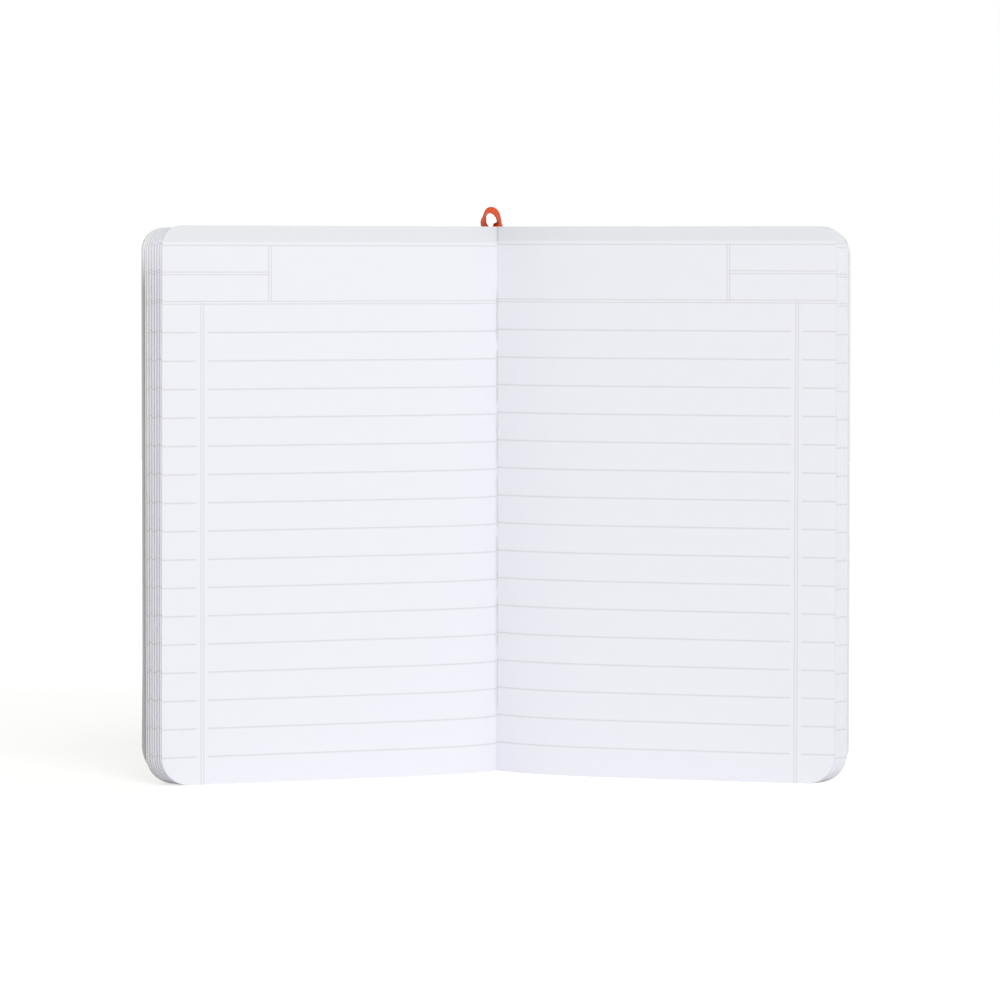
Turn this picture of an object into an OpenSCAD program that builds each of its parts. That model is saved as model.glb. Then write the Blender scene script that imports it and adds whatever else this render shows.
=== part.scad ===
// Pocket notebook, sewn in signatures, standing open on its foot.
// The pages open at the middle of a signature: its fold is the Z axis, the foot is at Z = 0,
// the reader looks along +Y, the front cover is on the left and the back cover on the right.

/* [Pages] */
// Width of a leaf, from its fold to its fore-edge
page_w = 90; // [80:0.5:105]
// Height of a leaf
page_h = 140; // [120:1:180]
// Thickness of one leaf
leaf_t = 0.1; // [0.07:0.005:0.12]
// Leaves in one sewn signature
leaves = 8; // [6:2:10]
// Whole signatures to the left of the one that lies open
left_signatures = 6; // [3:1:7]
// Whole signatures to the right of the one that lies open
right_signatures = 5; // [3:1:7]
// Radius of the page corners at the head
page_head_r = 5; // [3:0.1:9]
// Radius of the page corners at the foot
page_foot_r = 7.2; // [3:0.1:10]
// How much lower the signatures behind the open one stand at the head, on the left
left_drop = 0.5; // [0:0.1:1]

/* [Opening] */
// Slope of the left pages at their fore-edge, in degrees
left_lean = 18; // [12:0.5:22]
// Slope of the left pages at the fold
left_fold = 52; // [44:1:56]
// Length over which the left pages bend
left_bend = 35; // [28:1:50]
// Slope of the right pages at their fore-edge
right_lean = 14; // [10:0.5:22]
// Slope of the right pages at the fold
right_fold = 46; // [42:1:56]
// Length over which the right pages bend
right_bend = 50; // [28:1:55]
// How soon the bend dies away from the fold
bend_ease = 3; // [2:0.5:4]

/* [Cover] */
// How far the front cover reaches past the pages at the fore-edge
front_past = 0.65; // [0:0.05:2]
// How far the back cover reaches past the pages at the fore-edge
back_past = 0.15; // [0:0.05:2]
// How far the cover stops short of the pages at the head
cover_short = 0.5; // [0:0.1:1.5]
// Thickness of the cover card
cover_t = 0.8; // [0.5:0.05:1.2]
// Radius of the cover corners at the head
cover_head_r = 6; // [3:0.1:10]
// Radius of the cover corners at the foot
cover_foot_r = 9.5; // [3:0.1:12]
// How far the spine strip bows away behind its creases
spine_bow = 3; // [2.4:0.1:3.6]
// Gap at each crease, where the card is free to fold
crease_gap = 0.3; // [0.2:0.05:0.4]

/* [Endpapers] */
// Thickness of the endpaper
endpaper_t = 0.14; // [0.1:0.01:0.2]
// Gap between the flyleaf and the paper pasted to the cover
endpaper_gap = 0.3; // [0.2:0.05:0.5]
// How far the pasted half stops short of the cover's edges
paste_margin = 0.1; // [0.05:0.05:1.5]
// Thickness of the lining glued over the spine
lining_t = 0.3; // [0.2:0.05:0.4]
// Glue between the folds of the signatures and their lining
lining_clear = 0.1; // [0.05:0.01:0.2]

/* [Sewing] */
// Diameter of the sewing thread
thread_d = 0.34; // [0.25:0.01:0.4]
// Stitches along the open fold
stitches = 7; // [5:1:9]
// Distance from one stitch to the next
stitch_pitch = 15.8; // [12:0.1:16]
// Paper left between two stitches
stitch_gap = 2.2; // [1.5:0.1:4]
// Diameter of a needle hole
needle_d = 0.44; // [0.4:0.01:0.48]

/* [Ribbon] */
// Width of the ribbon
ribbon_w = 2.6; // [2:0.1:2.8]
// Thickness of the ribbon
ribbon_t = 0.25; // [0.15:0.01:0.3]
// Length glued to the spine lining, below the head
ribbon_glued = 26; // [15:1:40]
// Height of the loop's middle line above the head
ribbon_rise = 4.5; // [3:0.1:8]
// Distance between the two sides of the loop
ribbon_span = 4; // [3.4:0.1:4.4]
// Height of the tail's end above the foot
ribbon_tail_z = 14; // [6:1:40]

/* [Hidden] */
$fn = 48;

// Colours
paper_white = [0.94, 0.94, 0.97];
paper_plain = [0.93, 0.93, 0.94];
card_grey = [0.80, 0.80, 0.81];
lining_grey = [0.85, 0.85, 0.82];
thread_white = [0.90, 0.89, 0.86];
ribbon_red = [0.86, 0.26, 0.10];

// A side of the book is [direction along X, slope at the fore-edge, slope at the fold, bend length]
LEFT = [-1, left_lean, left_fold, left_bend];
RIGHT = [1, right_lean, right_fold, right_bend];

sig_t = leaves * leaf_t;
half_sig = sig_t / 2;
left_stack = half_sig + left_signatures * sig_t;
right_stack = half_sig + right_signatures * sig_t;
front_w = page_w + front_past;
back_w = page_w + back_past;
cover_h = page_h - cover_short;
left_h = page_h - left_drop;
bend_steps = 16;
over = 1;

// Slope of the open page at distance s from the fold
function slope(side, s) =
    side[1] + (side[2] - side[1]) * pow(max(0, 1 - s / side[3]), bend_ease);
// Direction that runs out along the page, and the one that goes through it to the back
function along(side, a) = [side[0] * cos(a), -sin(a)];
function through(side, a) = [side[0] * sin(a), cos(a)];

// Points of the open page's face in plan, from the fold to the end of the bend
function face_line(side) =
    let (step = side[3] / bend_steps)
    [for (i = 0, p = [0, 0]; i <= bend_steps;
          p = p + step * along(side, slope(side, (i + 0.5) * step)), i = i + 1) p];

// The same line at depth d behind the open page, where the sheets lie parallel to it
function line_at(side, d) =
    let (line = face_line(side))
    [for (i = [0:bend_steps])
        line[i] + d * through(side, slope(side, side[3] * i / bend_steps))];

// A point on the straight part, at distance s from the fold and depth d
function point_at(side, s, d) =
    face_line(side)[bend_steps] + (s - side[3]) * along(side, side[1])
    + d * through(side, side[1]);

// Sheets bend round the fold, so a sheet of length w at depth d ends further out
function edge_at(side, w, d) = w + d * (side[2] - side[1]) * PI / 180;

// Plan of a layer of sheets between two depths, from the fold to distance s
function layer(side, d0, d1, s) =
    concat(line_at(side, d0), [point_at(side, s, d0), point_at(side, s, d1)],
           reversed(line_at(side, d1)));
function reversed(list) = [for (i = [len(list) - 1:-1:0]) list[i]];

// Where two lines meet that lie at distance g from the origin along the directions a and b
function meet(a, b, g) = g * [b[1] - a[1], a[0] - b[0]] / (a[0] * b[1] - a[1] * b[0]);

// Unit directions at the fold: through each stack, and out behind its spine edge
left_through = through(LEFT, left_fold);
right_through = through(RIGHT, right_fold);
left_behind = -along(LEFT, left_fold);
right_behind = -along(RIGHT, right_fold);

// Depth of each layer behind the open page
left_fly = left_stack + endpaper_t;
right_fly = right_stack + endpaper_t;
left_paste = left_fly + endpaper_gap;
right_paste = right_fly + endpaper_gap;
left_card = left_paste + endpaper_t;
right_card = right_paste + endpaper_t;

// Creases of the cover, on its outer face
left_crease = (left_card + cover_t) * left_through;
right_crease = (right_card + cover_t) * right_through;

// The spine strip is an arc through both creases
crease_span = norm(right_crease - left_crease);
spine_r = (pow(crease_span / 2, 2) + pow(spine_bow, 2)) / (2 * spine_bow);
spine_turn = atan2(right_crease[1] - left_crease[1], right_crease[0] - left_crease[0]);
spine_mid = (left_crease + right_crease) / 2
    + (spine_bow - spine_r) * [-sin(spine_turn), cos(spine_turn)];
spine_half = asin(crease_span / 2 / spine_r);
crease_angle = crease_gap / spine_r * 180 / PI;

// Spine side of the block: the folds of the signatures stand out as low rounds
fold_round = 0.3;
round_steps = 4;
thread_r = thread_d / 2;
thread_clear = 0.02;
// The lining lies over the thread that runs outside the open fold
lining_back = half_sig + thread_r + lining_clear;

// Cuts the corner of a layer that ends at distance s; up is 1 at the head and -1 at the foot.
// The die's round crosses both edges at a slight angle, as a cut corner does.
die_ease = 0.02;
module corner_cut(side, s, z, r, up) {
    reach = 20;
    inset = r - die_ease;
    translate([point_at(side, s, 0)[0], point_at(side, s, 0)[1], z])
        rotate([0, 0, atan2(along(side, side[1])[1], along(side, side[1])[0])])
            difference() {
                translate([-inset, -reach, up > 0 ? -inset : -over])
                    cube([inset + over, 2 * reach, inset + over]);
                translate([-inset, 0, -up * inset])
                    rotate([90, 0, 0])
                        cylinder(r = r, h = 2 * reach + over, center = true);
            }
}

// A layer of sheets with rounded corners
module sheet(side, d0, d1, s, h, head_r, foot_r) {
    difference() {
        linear_extrude(h)
            polygon(layer(side, d0, d1, s));
        corner_cut(side, s, h, head_r, 1);
        corner_cut(side, s, 0, foot_r, -1);
    }
}

// Round of a signature's folded edge, as points from depth d0 to depth d1
function fold_points(side, d0, d1) =
    let (t = through(side, side[2]), b = -along(side, side[2]))
    [for (i = [1:round_steps - 1])
        let (k = i / round_steps)
        (d0 + k * (d1 - d0)) * t + 4 * k * (1 - k) * fold_round * b];

// A whole signature of height h, folded at the spine. It presses into the one before it.
press = 0.02;
module signature(side, d, h) {
    d0 = d - press;
    d1 = d + sig_t;
    s = edge_at(side, page_w, (d + d1) / 2);
    difference() {
        linear_extrude(h)
            polygon(concat(layer(side, d0, d1, s), reversed(fold_points(side, d0, d1))));
        corner_cut(side, s, h, page_head_r, 1);
        corner_cut(side, s, 0, page_foot_r, -1);
    }
}

// The signature that lies open: half of it on each side of its fold
module open_signature() {
    left_s = edge_at(LEFT, page_w, half_sig / 2);
    right_s = edge_at(RIGHT, page_w, half_sig / 2);
    turn_l = atan2(left_through[1], left_through[0]);
    turn_r = atan2(right_through[1], right_through[0]);
    back_of_fold = [for (i = [1:round_steps - 1])
        let (a = turn_r + (turn_l - turn_r) * i / round_steps)
        half_sig * [cos(a), sin(a)]];
    difference() {
        linear_extrude(page_h)
            polygon(concat(
                [point_at(LEFT, left_s, half_sig), point_at(LEFT, left_s, 0)],
                reversed(line_at(LEFT, 0)),
                [for (i = [1:bend_steps]) face_line(RIGHT)[i]],
                [point_at(RIGHT, right_s, 0), point_at(RIGHT, right_s, half_sig)],
                reversed(line_at(RIGHT, half_sig)),
                back_of_fold,
                line_at(LEFT, half_sig)));
        corner_cut(LEFT, left_s, page_h, page_head_r, 1);
        corner_cut(LEFT, left_s, 0, page_foot_r, -1);
        corner_cut(RIGHT, right_s, page_h, page_head_r, 1);
        corner_cut(RIGHT, right_s, 0, page_foot_r, -1);
        for (i = [0:stitches - 1], end = [-1, 1])
            needle_hole(stitch_z(i) + end * stitch_half);
    }
}

// Sewing: each stitch lies in the open fold and passes through it at both ends
stitch_half = (stitch_pitch - stitch_gap) / 2;
function stitch_z(i) = page_h / 2 + (i - (stitches - 1) / 2) * stitch_pitch;
thread_in = meet(left_through, right_through, -thread_r - thread_clear);
thread_out = [thread_in[0], half_sig + thread_r + thread_clear];

module needle_hole(z) {
    translate([thread_in[0], 0, z])
        rotate([90, 0, 0])
            cylinder(d = needle_d, h = 2 * half_sig + over, center = true, $fn = 24);
}

module page_block() {
    color(paper_white) {
        open_signature();
        for (i = [0:left_signatures - 1])
            signature(LEFT, half_sig + i * sig_t, left_h);
        for (i = [0:right_signatures - 1])
            signature(RIGHT, half_sig + i * sig_t, page_h);
    }
}

// The free half of each endpaper lies on the outside of the block
module flyleaf(side, d, h) {
    color(paper_plain)
        sheet(side, d, d + endpaper_t, edge_at(side, page_w, d), h, page_head_r, page_foot_r);
}

module front_flyleaf() {
    flyleaf(LEFT, left_stack, left_h);
}

module back_flyleaf() {
    flyleaf(RIGHT, right_stack, page_h);
}

module sewing_thread() {
    color(thread_white)
        for (i = [0:stitches - 1]) {
            thread_rod(thread_in, stitch_z(i) - stitch_half, stitch_z(i) + stitch_half);
            thread_leg(stitch_z(i) - stitch_half);
            thread_leg(stitch_z(i) + stitch_half);
            if (i < stitches - 1)
                thread_rod(thread_out, stitch_z(i) + stitch_half, stitch_z(i + 1) - stitch_half);
        }
}

module thread_rod(p, z0, z1) {
    translate([p[0], p[1], z0 - thread_r])
        cylinder(r = thread_r, h = z1 - z0 + thread_d, $fn = 10);
}

module thread_leg(z) {
    translate([thread_in[0], thread_in[1], z])
        rotate([-90, 0, 0])
            cylinder(r = thread_r, h = thread_out[1] - thread_in[1], $fn = 10);
}

// Lining glued over the folds of the signatures, creased behind the open fold
module spine_lining() {
    lining_front = lining_back + lining_t;
    color(lining_grey)
        linear_extrude(cover_h)
            polygon([
                left_stack * left_through + lining_back * left_behind,
                meet(left_behind, right_behind, lining_back),
                right_stack * right_through + lining_back * right_behind,
                right_stack * right_through + lining_front * right_behind,
                meet(left_behind, right_behind, lining_front),
                left_stack * left_through + lining_front * left_behind]);
}

// Spine strip of the cover, bowed back because the block's spine has folded in front of it
module spine_cover() {
    color(card_grey)
        translate([spine_mid[0], spine_mid[1], 0])
            rotate([0, 0, 90 + spine_turn - spine_half + crease_angle])
                rotate_extrude(angle = 2 * (spine_half - crease_angle), $fn = 96)
                    translate([spine_r - cover_t, 0])
                        square([cover_t, cover_h]);
}

// One side of the cover: a card bent like the pages it lies on
module cover(side, d, w) {
    color(card_grey)
        sheet(side, d, d + cover_t, edge_at(side, w, d), cover_h, cover_head_r, cover_foot_r);
}

module front_cover() {
    cover(LEFT, left_card, front_w);
}

module back_cover() {
    cover(RIGHT, right_card, back_w);
}

// The pasted half of each endpaper, on the inside of its cover
module pastedown(side, d, w) {
    s = edge_at(side, w, d) - paste_margin;
    color(paper_plain)
        translate([0, 0, paste_margin])
            sheet(side, d, d + endpaper_t, s, cover_h - 2 * paste_margin,
                  cover_head_r, cover_foot_r);
}

module front_pastedown() {
    pastedown(LEFT, left_paste, front_w);
}

module back_pastedown() {
    pastedown(RIGHT, right_paste, back_w);
}

// Ribbon: glued to the lining behind the left stack, looped over the head and led back down
// inside the spine. Each row of its route is a point and the direction of its width there.
ribbon_glue = 0.03;
ribbon_lift = ribbon_t / 2 + ribbon_glue;
ribbon_past = 0.4;
ribbon_seat = (left_stack + ribbon_past - ribbon_w / 2) * left_through
    + (lining_back + lining_t + ribbon_lift) * left_behind;
// The tail hangs in the hollow between the lining and the spine strip
tail_shift = 0.85;
tail_clear = 0.9;
ribbon_end = [spine_mid[0] + tail_shift,
              spine_mid[1] + spine_r - cover_t - ribbon_t / 2 - tail_clear];
// Above the head the loop swings out to the left of its seat
loop_out = 0.7;
loop_leg = 1.2;
loop_dip = 1;
// Tilt of the width towards the outside of the loop, from the left leg to the right one
loop_tilt = [50, 36, 22, 18, 26, 36, 42, 44, 42, 38, 32, 28, 30];
loop_steps = len(loop_tilt) - 1;

function loop_row(i) =
    let (
        a = 180 - 180 * i / loop_steps,
        q = loop_tilt[i])
    [[ribbon_seat[0] - loop_out + ribbon_span / 2 * (1 + cos(a)),
      ribbon_seat[1] + (ribbon_end[1] - ribbon_seat[1]) * i / loop_steps,
      page_h + loop_leg + (ribbon_rise - loop_leg) * sin(a)],
     [sin(q) * cos(a), cos(q), sin(q) * sin(a)]];

ribbon_rows = concat(
    [for (z = [page_h - ribbon_glued, page_h - ribbon_glued / 2, page_h - loop_dip])
        [[ribbon_seat[0], ribbon_seat[1], z], [left_through[0], left_through[1], 0]]],
    [for (i = [0:loop_steps]) loop_row(i)],
    [for (z = [page_h - loop_dip, page_h / 2, ribbon_tail_z])
        [[ribbon_end[0], ribbon_end[1], z], [1, 0, 0]]]);

// Corners of the ribbon's section at row i, square to its route
function ribbon_ring(i) =
    let (
        last = len(ribbon_rows) - 1,
        p = ribbon_rows[i][0],
        run = ribbon_rows[min(i + 1, last)][0] - ribbon_rows[max(i - 1, 0)][0],
        dir = run / norm(run),
        flat = ribbon_rows[i][1] - (ribbon_rows[i][1] * dir) * dir,
        w = flat / norm(flat) * ribbon_w / 2,
        t = cross(dir, w) / norm(w) * ribbon_t / 2)
    [p - w - t, p + w - t, p + w + t, p - w + t];

module ribbon_bookmark() {
    n = len(ribbon_rows);
    points = [for (i = [0:n - 1], q = ribbon_ring(i)) q];
    sides = [for (i = [0:n - 2], k = [0:3], second = [false, true])
        let (
            p = 4 * i + k,
            q = 4 * i + (k + 1) % 4)
        second ? [p, q + 4, p + 4] : [p, q, q + 4]];
    color(ribbon_red)
        polyhedron(points, concat([[3, 2, 1, 0]], sides,
                                  [[for (k = [0:3]) 4 * (n - 1) + k]]));
}

page_block();
front_flyleaf();
back_flyleaf();
sewing_thread();
spine_lining();
ribbon_bookmark();
spine_cover();
front_cover();
front_pastedown();
back_cover();
back_pastedown();
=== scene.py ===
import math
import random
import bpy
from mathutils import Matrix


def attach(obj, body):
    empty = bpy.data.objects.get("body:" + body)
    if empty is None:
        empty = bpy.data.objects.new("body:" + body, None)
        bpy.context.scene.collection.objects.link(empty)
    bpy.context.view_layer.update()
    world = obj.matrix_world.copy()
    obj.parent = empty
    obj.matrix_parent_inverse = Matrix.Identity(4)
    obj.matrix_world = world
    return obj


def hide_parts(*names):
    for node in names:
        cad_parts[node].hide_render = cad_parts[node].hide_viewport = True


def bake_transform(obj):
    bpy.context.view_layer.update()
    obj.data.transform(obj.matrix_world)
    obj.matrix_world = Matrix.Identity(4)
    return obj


bl_info = {
    "name": "Open pocket notebook",
    "version": (1, 0, 0),
    "blender": (4, 5, 0),
    "location": "3D View > Sidebar > Notebook",
    "description": "Leaves, cover, sewing and ribbon of an open pocket notebook, on its CAD frame",
    "category": "Object",
}

import bmesh
import bpy
from bpy.props import FloatProperty, FloatVectorProperty, IntProperty, PointerProperty
from mathutils import Vector

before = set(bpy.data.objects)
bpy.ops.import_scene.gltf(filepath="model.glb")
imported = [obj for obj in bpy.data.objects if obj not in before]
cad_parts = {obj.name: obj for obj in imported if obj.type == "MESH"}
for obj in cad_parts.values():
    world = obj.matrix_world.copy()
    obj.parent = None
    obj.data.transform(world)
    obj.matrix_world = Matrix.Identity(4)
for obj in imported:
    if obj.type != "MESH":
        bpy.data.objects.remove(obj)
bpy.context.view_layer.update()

MM = 0.001
PAGE_MAP = "page_place"
BLOCK = "pages_and_spine"


def length(name, description, default):
    """A length in metres, given here in millimetres."""
    return FloatProperty(name=name, description=description, default=default * MM,
                         unit="LENGTH", precision=5)


def angle(name, description, default):
    """An angle, given here in degrees."""
    return FloatProperty(name=name, description=description,
                         default=math.radians(default), subtype="ANGLE")


def number(name, description, default):
    """A plain number."""
    return FloatProperty(name=name, description=description, default=default)


def count(name, description, default):
    """A whole number."""
    return IntProperty(name=name, description=description, default=default)


def colour(name, description, default):
    """A linear colour."""
    return FloatVectorProperty(name=name, description=description, default=default,
                               size=3, subtype="COLOR", min=0, max=1)


class NotebookSizes(bpy.types.PropertyGroup):
    """Sizes of the notebook, as in its CAD source."""

    page_w: length("Page width", "From the fold to the fore-edge", 90)
    page_h: length("Page height", "From the foot to the head", 140)
    leaf_t: length("Leaf thickness", "Thickness of one leaf with its air", 0.1)
    leaves: count("Leaves", "Leaves in a signature", 8)
    page_head_r: length("Head corner", "Radius of the open page's corners at the head", 5)
    page_foot_r: length("Foot corner", "Radius of the page corners at the foot", 7.2)
    bend_ease: number("Bend ease", "How soon the bend dies away from the fold", 3)

    left_signatures: count("Left signatures", "Whole signatures on the left", 6)
    left_pressed: number("Left pressed", "Room that the leaves take of their signature", 0.74)
    left_shear: number("Left shear", "How far the leaves of a signature slip at the edge", 0.2)
    left_deep_r: length("Left deep corner", "Head corner at the back of the left stack", 5.7)
    left_drop: length("Left drop", "How much lower the left signatures stand", 0.5)
    left_skew: length("Left skew", "How far the left page's edge leans out at the foot", 0.35)
    left_lean: angle("Left slope", "Slope of the left pages at the fore-edge", 18)
    left_fold: angle("Left fold slope", "Slope of the left pages at the fold", 52)
    left_bend: length("Left bend", "Length over which the left pages bend", 35)

    right_signatures: count("Right signatures", "Whole signatures on the right", 5)
    right_pressed: number("Right pressed", "Room that the leaves take of their signature", 0.98)
    right_shear: number("Right shear", "How far the leaves of a signature slip at the edge", 0.8)
    right_deep_r: length("Right deep corner", "Head corner at the back of the right stack", 6.8)
    right_skew: length("Right skew", "How far the right page's edge leans out at the foot", 0.15)
    right_lean: angle("Right slope", "Slope of the right pages at the fore-edge", 14)
    right_fold: angle("Right fold slope", "Slope of the right pages at the fold", 46)
    right_bend: length("Right bend", "Length over which the right pages bend", 50)

    front_past: length("Front past", "How far the front cover reaches past the pages", 0.3)
    front_skew: length("Front skew", "How far the front cover leans out at the foot", 0.13)
    front_flare: length("Front flare", "How far the front cover splays near its foot", 0.28)
    flare_up: length("Flare height", "Height at which the cover splays most", 14)
    flare_fade: length("Flare fade", "How far up and down from there the splay dies away", 7)
    back_past: length("Back past", "How far the back cover reaches past the pages", 0.15)
    back_skew: length("Back skew", "How far the back cover leans out at the foot", 0.25)
    cover_short: length("Cover short", "How far the cover stops below the head", 0.5)
    cover_t: length("Cover thickness", "Thickness of the cover card", 0.8)
    cover_foot_r: length("Cover foot corner", "Radius of the cover at the foot", 9.5)
    cover_step: length("Cover step", "Fine square step along the card's cut edges", 0.1)
    spine_bow: length("Spine bow", "How far the spine strip bows away", 3)
    crease: length("Crease", "From a crease to the cards it joins", 0.55)
    crease_pinch: length("Crease pinch", "How far a crease is pressed in", 0.16)
    endpaper_t: length("Endpaper", "Thickness of the endpaper", 0.14)
    endpaper_gap: length("Endpaper gap", "Between flyleaf and pasted half", 0.3)
    paste_margin: length("Paste margin", "Pasted half short of the cover's edges", 0.1)
    lining_t: length("Lining", "Thickness of the spine lining", 0.3)
    lining_clear: length("Lining glue", "Glue under the lining", 0.1)

    thread_d: length("Thread", "Diameter of the thread", 0.34)
    thread_twist: length("Thread twist", "Length in which the plies turn once", 1.0)
    thread_dip: length("Thread dip", "How soon the thread dives into its hole", 0.28)
    stitches: count("Stitches", "Stitches in the fold", 7)
    stitch_pitch: length("Stitch pitch", "From one stitch to the next", 15.8)
    stitch_gap: length("Stitch gap", "Paper left between two stitches", 2.2)
    ribbon_w: length("Ribbon width", "Width of the ribbon", 2.6)
    ribbon_t: length("Ribbon thickness", "Thickness of the ribbon", 0.25)
    ribbon_glued: length("Ribbon glued", "Length glued to the lining", 26)
    ribbon_rise: length("Ribbon rise", "Height of the loop above the head", 4.2)
    ribbon_span: length("Ribbon span", "Between the sides of the loop", 4)
    ribbon_tail_z: length("Ribbon tail", "Height of the tail's end", 14)


class NotebookPrint(bpy.types.PropertyGroup):
    """Where the rules are printed, from the head and from the fore-edge."""

    band: length("Band", "Height of the tinted band at the head", 4.1)
    head_rule: length("Head rule", "First rule below the band", 4.95)
    box_rule: length("Box rule", "Double rule beside the heading", 11.92)
    title_rule: length("Title rule", "Double rule below the heading", 19.23)
    first_line: length("First line", "First ruled line", 26.65)
    line_pitch: length("Line pitch", "From one ruled line to the next", 7.085)
    lines: count("Lines", "Ruled lines on a page", 16)
    box_side: length("Box side", "Double rule beside the heading, from the fore-edge", 27.72)
    margin: length("Margin", "Double margin rule, from the fore-edge", 10.2)
    margin_clear: length("Margin gap", "Where the lines stop beside the margin", 1.45)
    double_gap: length("Double rule", "Between the two lines of a double rule", 0.68)
    thin: length("Line width", "Width of a line of a double rule", 0.25)
    broad: length("Rule width", "Width of a single ruled line", 0.38)
    soft: length("Line softness", "Over what width a line's edges fade", 0.22)
    right_out: length("Right out", "How much nearer the fore-edge the right page's print is", 0.38)
    right_up: length("Right up", "How much higher the right page's print is", 0.42)
    left_low: length("Left low", "How much lower the left signatures are printed", -0.25)
    left_drift: length("Left drift", "How far that differs from one to the next", 0.35)
    right_low: length("Right low", "How much lower the right signatures are printed", 0.4)
    right_drift: length("Right drift", "How far that differs from one to the next", 0.15)
    open_drift: length("Open drift", "How far the print of the open sheets differs", 0.1)
    leaf_drift: length("Leaf drift", "How far the print of a signature's sheets differs", 0.08)


class NotebookColours(bpy.types.PropertyGroup):
    """Linear colours of the notebook and its stage."""

    paper: colour("Paper", "Paper of the pages", (0.90, 0.90, 0.958))
    ink: colour("Ink", "Ruled lines", (0.696, 0.696, 0.721))
    band: colour("Band", "Tinted band at the head", (0.82, 0.835, 0.865))
    cut: colour("Cut paper", "Cut edges of the leaves", (0.95, 0.95, 0.97))
    # Painted shade: the left leaves' cut edges face away from the light, so they are darker below
    # the head corner.
    shaded_cut: colour("Rubbed paper", "Cut edges of the left leaves, below the head",
                       (0.53, 0.525, 0.475))
    # Painted shade in the crease of the open fold.
    fold: colour("Fold", "Crease along the open fold", (0.50, 0.50, 0.52))
    endpaper: colour("Endpaper", "Plain endpapers", (0.93, 0.93, 0.945))
    card: colour("Card", "Cover card", (0.68, 0.68, 0.69))
    card_edge: colour("Card edge", "Cut edge of the cover card", (0.95, 0.95, 0.955))
    # Painted shade: the front cover's edge and its endpaper's rim, shaded by the pages below the
    # head.
    shaded_card: colour("Rubbed card", "Front cover's edge, below the head", (0.44, 0.44, 0.44))
    lining: colour("Lining", "Cloth behind the folds", (0.66, 0.66, 0.62))
    thread: colour("Thread", "Waxed thread", (0.93, 0.925, 0.91))
    # Painted light and shade of the satin: sheen on its floats and flecks, shade between its ribs
    # and at its borders.
    ribbon: colour("Ribbon", "Satin ribbon", (1.0, 0.12, 0.008))
    ribbon_sheen: colour("Ribbon light", "Shining floats of the ribbon", (1.0, 0.26, 0.065))
    ribbon_shade: colour("Ribbon shade", "Satin ribbon between its ribs", (0.56, 0.03, 0.006))
    floor: colour("Floor", "Floor, as the notebook sees it", (0.95, 0.95, 0.95))
    shadow: colour("Shadow", "Floor round the notebook, as the camera sees it",
                   (0.66, 0.656, 0.64))


class NotebookStage(bpy.types.PropertyGroup):
    """Camera and light."""

    lens: number("Lens", "Focal length in millimetres", 145.82)
    distance: length("Distance", "From the camera to the fold", 1039.2)
    height: length("Height", "Height of the camera over the floor", 131.91)
    aside: length("Aside", "How far the camera stands to the right", 0.78)
    pitch: angle("Pitch", "How far the camera looks down", 3.4146)
    roll: angle("Roll", "How far the camera leans to the left", 0.06)
    key: number("Key", "Power of the key light in watts", 26.3)
    key_size: length("Key size", "Side of the key light", 1400)
    fill: number("Fill", "Power of the front light in watts", 1.3)
    fill_size: length("Fill size", "Side of the front light", 1100)
    sky: number("Sky", "Strength of the world light", 0.552)


class Wire:
    """A shader value. An expression on it adds its Math nodes."""

    def __init__(self, shader, socket):
        self.shader = shader
        self.socket = socket

    def math(self, operation, *values):
        """A Math node of this kind, on these values."""
        node = self.shader.node("ShaderNodeMath", {"operation": operation},
                                dict(enumerate(values)))
        return Wire(self.shader, node.outputs[0])

    def __add__(self, other):
        return self.math("ADD", self, other)

    __radd__ = __add__

    def __sub__(self, other):
        return self.math("SUBTRACT", self, other)

    def __rsub__(self, other):
        return self.math("SUBTRACT", other, self)

    def __mul__(self, other):
        return self.math("MULTIPLY", self, other)

    __rmul__ = __mul__

    def __truediv__(self, other):
        return self.math("DIVIDE", self, other)

    def __abs__(self):
        return self.math("ABSOLUTE", self)

    def __gt__(self, other):
        return self.math("GREATER_THAN", self, other)

    def __lt__(self, other):
        return self.math("LESS_THAN", self, other)

    def __or__(self, other):
        return self.math("MAXIMUM", self, other)

    def fract(self):
        """What is left over a whole number."""
        return self.math("FRACT", self)

    def sine(self):
        """Sine of the value."""
        return self.math("SINE", self)

    def between(self, low, high):
        """0 below low and 1 above high, with a soft step."""
        node = self.shader.node(
            "ShaderNodeMapRange", {"interpolation_type": "SMOOTHSTEP"},
            {"Value": self, "From Min": low, "From Max": high})
        return Wire(self.shader, node.outputs[0])

    def stroke(self, middle, width, soft):
        """1 on a line of this width round middle, and 0 off it."""
        return 1 - abs(self - middle).between(width / 2 - soft / 2, width / 2 + soft / 2)


def tinted(tone, factor):
    """The tone, this many times as bright."""
    return tuple(min(1.0, factor * v) for v in tone)


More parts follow.
